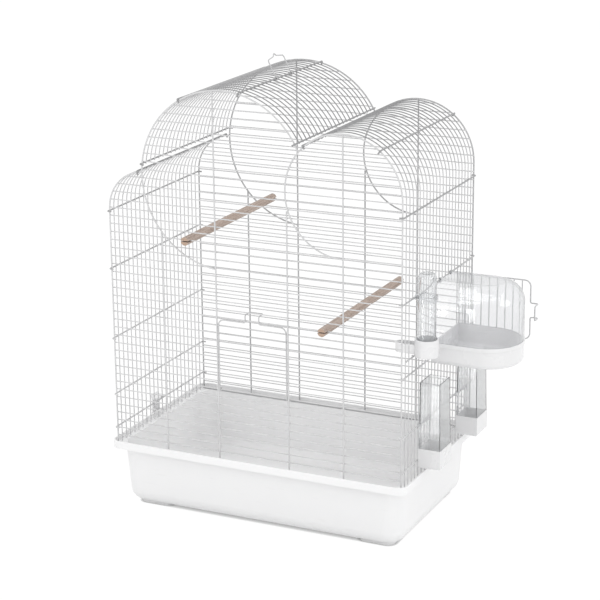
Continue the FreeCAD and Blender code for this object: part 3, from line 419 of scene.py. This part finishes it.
# Bath. A white dish hung outside the side doorway under a clear domed hood that keeps the splashes in.
# The dish is glossy moulded styrene, and the hood is clear styrene about two millimetres thick.
DISH_WHITE = (0.77, 0.77, 0.775, 1)
DISH_SHADE = (0.73, 0.73, 0.735, 1)
DISH_SKIN = {"Grains": 2200.0, "Clouds": 22.0, "Marks": 0.25}
DISH_ROUGH = (0.20, 0.32)
DISH_BUMP = {"Strength": 0.12, "Distance": 0.00004}
LIP_PROFILE = [(-0.0004, 0.0), (0.0013, 0.0), (0.0013, -0.0068), (-0.0004, -0.0068)]
LIP_ROUND = 0.0006
LIP_ROUND_STEPS = 3
LIP_STEPS = 48
LIP_SHORT = 0.0026
CLEAR_EDGE = (0.30, 0.31, 0.32, 1)
CLEAR_BODY = (0.55, 0.57, 0.59, 1)
CLEAR_DENSITY = 70.0
CLEAR_SKIN = {"Grains": 300.0, "Clouds": 30.0}
CLEAR_ROUGH = (0.015, 0.05)
CLEAR_BUMP = {"Strength": 0.05, "Distance": 0.0001}
SMEAR_LOW = 0.35
SMEAR_HIGH = 0.7
EDGE_BLEND = 0.5
HOOD_TINT = (0.98, 0.98, 0.985, 1)
HOOD_EDGE_FROM = 0.62
HOOD_CLEAR = 0.95
HOOD_PAINTED_SHADE = (0.45, 0.455, 0.46, 1)
HOOD_MOUTH = 0.2597
HOOD_SAWN = 0.0012
dish_plastic = moulded_plastic("dish_plastic", DISH_WHITE, DISH_SHADE, DISH_SKIN, DISH_ROUGH, DISH_BUMP)
dress(["bath_tray"], dish_plastic)


def clear_styrene(name, tint, edge, edge_from, clear, rough):
    """Clear plastic: smears in its gloss, ripples of its mould, and a grey body seen edge on."""
    made, tree, shader = blank_material(name)
    skin = add_group(tree, moulded_skin, CLEAR_SKIN).outputs
    smeared = ranged(tree, skin["Cloud"], *rough, SMEAR_LOW, SMEAR_HIGH)
    tree.links.new(smeared, shader.inputs["Roughness"])
    raised = add(tree, "Bump", {"Height": skin["Height"], **CLEAR_BUMP})
    tree.links.new(raised.outputs["Normal"], shader.inputs["Normal"])
    turned = add(tree, "LayerWeight", {"Blend": EDGE_BLEND}).outputs["Facing"]
    tone = mixed(tree, ranged(tree, turned, 0.0, 1.0, edge_from, 1.0), tint, edge)
    tree.links.new(tone, shader.inputs["Base Color"])
    shader.inputs["Transmission Weight"].default_value = clear
    shader.inputs["IOR"].default_value = PLASTIC_IOR
    passed = add(tree, "BsdfTransparent", {"Color": tint}).outputs["BSDF"]
    path = add(tree, "LightPath", {}).outputs
    lights = {0: path["Is Shadow Ray"], 1: path["Is Diffuse Ray"]}
    lit = add(tree, "Math", lights, operation="MAXIMUM").outputs["Value"]
    both = add(tree, "MixShader", {0: lit, 1: shader.outputs["BSDF"], 2: passed})
    out = tree.nodes["Material Output"]
    tree.links.new(both.outputs["Shader"], out.inputs["Surface"])
    body = add(tree, "VolumeAbsorption", {"Color": CLEAR_BODY, "Density": CLEAR_DENSITY})
    tree.links.new(body.outputs["Volume"], out.inputs["Volume"])
    return made


def paint_mouth_shade(hood):
    """Painted shade on the sawn mouth of the hood and the hooks on it, which look dark because light runs
    out through them.
    """
    tree = hood.node_tree
    colour = tree.nodes["Principled BSDF"].inputs["Base Color"]
    outward = add(tree, "SeparateXYZ", {"Vector": own_place(tree)}).outputs["X"]
    mouth_shade = ranged(tree, outward, 1.0, 0.0, HOOD_MOUTH, HOOD_MOUTH + HOOD_SAWN)
    tone = colour.links[0].from_socket
    # Painted shade: a grey band along the mouth of the hood.
    tree.links.new(mixed(tree, mouth_shade, tone, HOOD_PAINTED_SHADE), colour)


hood_plastic = clear_styrene(
    "hood_plastic", HOOD_TINT, CLEAR_EDGE, HOOD_EDGE_FROM, HOOD_CLEAR, CLEAR_ROUGH
)
paint_mouth_shade(hood_plastic)
dress(["bath_hood"], hood_plastic)


def make_lip():
    """The rolled lip round the dish's open edge, swept along its straight sides and round end."""
    low, high = (Vector(corner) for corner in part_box("bath_hood"))
    half = (high.y - low.y) / 2
    centre = Vector((high.x - half, low.y + half, low.z))
    mouth = low.x + LIP_SHORT
    turns = [math.pi * (step / LIP_STEPS - 1 / 2) for step in range(LIP_STEPS + 1)]
    outward = [Vector((math.cos(turn), math.sin(turn), 0)) for turn in turns]
    rows = [(centre + way * half, way) for way in outward]
    rows.insert(0, (Vector((mouth, low.y, low.z)), outward[0]))
    rows.append((Vector((mouth, high.y, low.z)), outward[-1]))
    places = [spot + way * out + Vector((0, 0, rise)) for spot, way in rows for out, rise in LIP_PROFILE]
    sides = len(LIP_PROFILE)
    faces = []
    for row in range(len(rows) - 1):
        here = row * sides
        beyond = here + sides
        for side in range(sides):
            after = (side + 1) % sides
            faces.append((here + side, here + after, beyond + after, beyond + side))
    faces += [tuple(reversed(range(sides))), tuple(range(len(places) - sides, len(places)))]
    mesh = bpy.data.meshes.new("bath_lip")
    mesh.from_pydata(places, [], faces)
    mesh.materials.append(dish_plastic)
    lip = bpy.data.objects.new("bath_lip", mesh)
    bpy.context.scene.collection.objects.link(lip)
    rounded = lip.modifiers.new("rounded", "BEVEL")
    rounded.width = LIP_ROUND
    rounded.segments = LIP_ROUND_STEPS
    rounded.limit_method = "ANGLE"
    rounded.harden_normals = True
    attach(lip, "bath")


make_lip()


# Drinker. A white cup with a spout through the bars, and a clear tube upside down in it.
# All are moulded styrene, and a small clip with a ring holds the tube against the wires.
TUBE_TINT = (0.97, 0.973, 0.976, 1)
TUBE_EDGE_FROM = 0.5
TUBE_CLEAR = 0.96
CLIP_EDGE = (0.85, 0.852, 0.855, 1)
CLIP_CLEAR = 0.98
tube_plastic = clear_styrene(
    "tube_plastic", TUBE_TINT, CLEAR_EDGE, TUBE_EDGE_FROM, TUBE_CLEAR, CLEAR_ROUGH
)
clip_plastic = clear_styrene(
    "clip_plastic", TUBE_TINT, CLIP_EDGE, TUBE_EDGE_FROM, CLIP_CLEAR, CLEAR_ROUGH
)
dress(["drinker_cup"], dish_plastic)
dress(["drinker_tube"], tube_plastic)
dress(["drinker_clip"], clip_plastic)


# Feeders. Two clear hoppers for seed, each let into a white trough that reaches in between the bars.
# Both are moulded styrene, and the troughs hook on to a cross wire of the right end.
HOPPER_TINT = (0.96, 0.961, 0.963, 1)
HOPPER_EDGE = (0.42, 0.425, 0.43, 1)
HOPPER_EDGE_FROM = 0.15
HOPPER_CLEAR = 0.92
HOPPER_ROUGH = (0.03, 0.09)
hopper_plastic = clear_styrene(
    "hopper_plastic", HOPPER_TINT, HOPPER_EDGE, HOPPER_EDGE_FROM, HOPPER_CLEAR, HOPPER_ROUGH
)
dress(["front_feeder_trough", "rear_feeder_trough"], dish_plastic)
dress(["front_feeder_hopper", "rear_feeder_hopper"], hopper_plastic)


# Studio. A pale floor that runs out of sight, soft light from all round and from two large lamps.
# Two small lit cards lie on the floor in front, to be mirrored in the clear plastic.
# The camera stands where the photograph was taken, to the right of the front and a little above.
CAMERA_PLACE = (1.3254, -2.7683, 1.2747)
CAMERA_TURN = math.radians(25.40)
CAMERA_FALL = math.radians(16.81)
CAMERA_ROLL = math.radians(-0.53)
CAMERA_LENS = 116.48
FLOOR_HALF = 30.0
FLOOR_PALE = (0.85, 0.85, 0.85, 1)
FLOOR_MOTTLE = (0.83, 0.83, 0.83, 1)
FLOOR_MOTTLES = 3.0
FLOOR_NOISE = {"Detail": 3.0}
FLOOR_ROUGH = 0.9
FLOOR_GLOW = 1.04
FLOOR_SHADOW = 0.06
FLOOR_CONTACT = 0.006
ROOM_SIDES = 0.58
ROOM_TOP = 1.45
WHITE = (1, 1, 1, 1)
LAMP_AIM = (0.03, 0.0, 0.30)
LAMPS = [
    ("left_lamp", (-1.7, -3.1, 1.2), LAMP_AIM, 2.0, 10.0),
    ("right_lamp", (3.4, -0.7, 1.2), LAMP_AIM, 2.0, 20.0),
    ("far_card", (-0.26, -1.08, 0.02), (-0.26, -1.08, 1.0), 0.42, 2.2),
    ("near_card", (0.05, -0.68, 0.02), (0.05, -0.68, 1.0), 0.30, 0.6),
]


def seen_share(tree):
    """One for what the camera sees straight on, mirrored or through clear plastic."""
    path = add(tree, "LightPath", {}).outputs
    seen = path["Is Camera Ray"]
    for kind in ("Is Glossy Ray", "Is Transmission Ray"):
        seen = add(tree, "Math", {0: seen, 1: path[kind]}, operation="MAXIMUM").outputs["Value"]
    return seen


def make_floor():
    """The pale floor, white to the camera but for a faint shadow and a painted dark line of contact."""
    mesh = bpy.data.meshes.new("floor")
    corners = [(x * FLOOR_HALF, y * FLOOR_HALF, 0) for x, y in ((-1, -1), (1, -1), (1, 1), (-1, 1))]
    mesh.from_pydata(corners, [], [(0, 1, 2, 3)])
    floor = bpy.data.objects.new("floor", mesh)
    bpy.context.scene.collection.objects.link(floor)
    made, tree, shader = blank_material("pale_floor")
    mottle = noise(tree, own_place(tree), FLOOR_NOISE, FLOOR_MOTTLES)
    tree.links.new(mixed(tree, mottle, FLOOR_PALE, FLOOR_MOTTLE), shader.inputs["Base Color"])
    shader.inputs["Roughness"].default_value = FLOOR_ROUGH
    shader.inputs["Specular IOR Level"].default_value = 0.0
    # Painted contact shadow: the glow dims where something stands close above the floor.
    painted_contact_shade = add(tree, "AmbientOcclusion", {"Distance": FLOOR_CONTACT}).outputs["AO"]
    glow = add(tree, "Emission", {"Color": WHITE, "Strength": ranged(tree, painted_contact_shade, 0.0, FLOOR_GLOW)})
    shares = {0: seen_share(tree), 1: 1 - FLOOR_SHADOW}
    share = add(tree, "Math", shares, operation="MULTIPLY").outputs["Value"]
    both = add(tree, "MixShader", {0: share, 1: shader.outputs["BSDF"], 2: glow.outputs["Emission"]})
    tree.links.new(both.outputs["Shader"], tree.nodes["Material Output"].inputs["Surface"])
    mesh.materials.append(made)


def make_room():
    """Light from all round, stronger from above, in a room that is plain white to the camera."""
    world = bpy.data.worlds.new("room")
    world.use_nodes = True
    tree = world.node_tree
    way = add(tree, "TexCoord", {}).outputs["Generated"]
    rise = add(tree, "SeparateXYZ", {"Vector": way}).outputs["Z"]
    light = ranged(tree, rise, ROOM_SIDES, ROOM_TOP)
    backdrop = tree.nodes["Background"]
    backdrop.inputs["Color"].default_value = WHITE
    tree.links.new(ranged(tree, seen_share(tree), light, 1.0), backdrop.inputs["Strength"])
    bpy.context.scene.world = world


def make_lamps():
    """Round lamps and cards, each at its place and turned to its aim."""
    for name, place, aim, width, power in LAMPS:
        light = bpy.data.lights.new(name, "AREA")
        light.shape = "DISK"
        light.size = width
        light.energy = power
        lamp = bpy.data.objects.new(name, light)
        lamp.location = place
        lamp.rotation_euler = (Vector(aim) - Vector(place)).to_track_quat("-Z", "Y").to_euler()
        bpy.context.scene.collection.objects.link(lamp)


def make_camera():
    """The camera, turned to the cage's left, tipped down and rolled a little."""
    data = bpy.data.cameras.new("camera")
    data.lens = CAMERA_LENS
    camera = bpy.data.objects.new("camera", data)
    camera.matrix_world = (
        Matrix.Translation(CAMERA_PLACE)
        @ Matrix.Rotation(CAMERA_TURN, 4, "Z")
        @ Matrix.Rotation(math.pi / 2 - CAMERA_FALL, 4, "X")
        @ Matrix.Rotation(CAMERA_ROLL, 4, "Z")
    )
    bpy.context.scene.collection.objects.link(camera)
    bpy.context.scene.camera = camera


make_floor()
make_room()
make_lamps()
make_camera()
bpy.context.scene.view_settings.view_transform = "Standard"
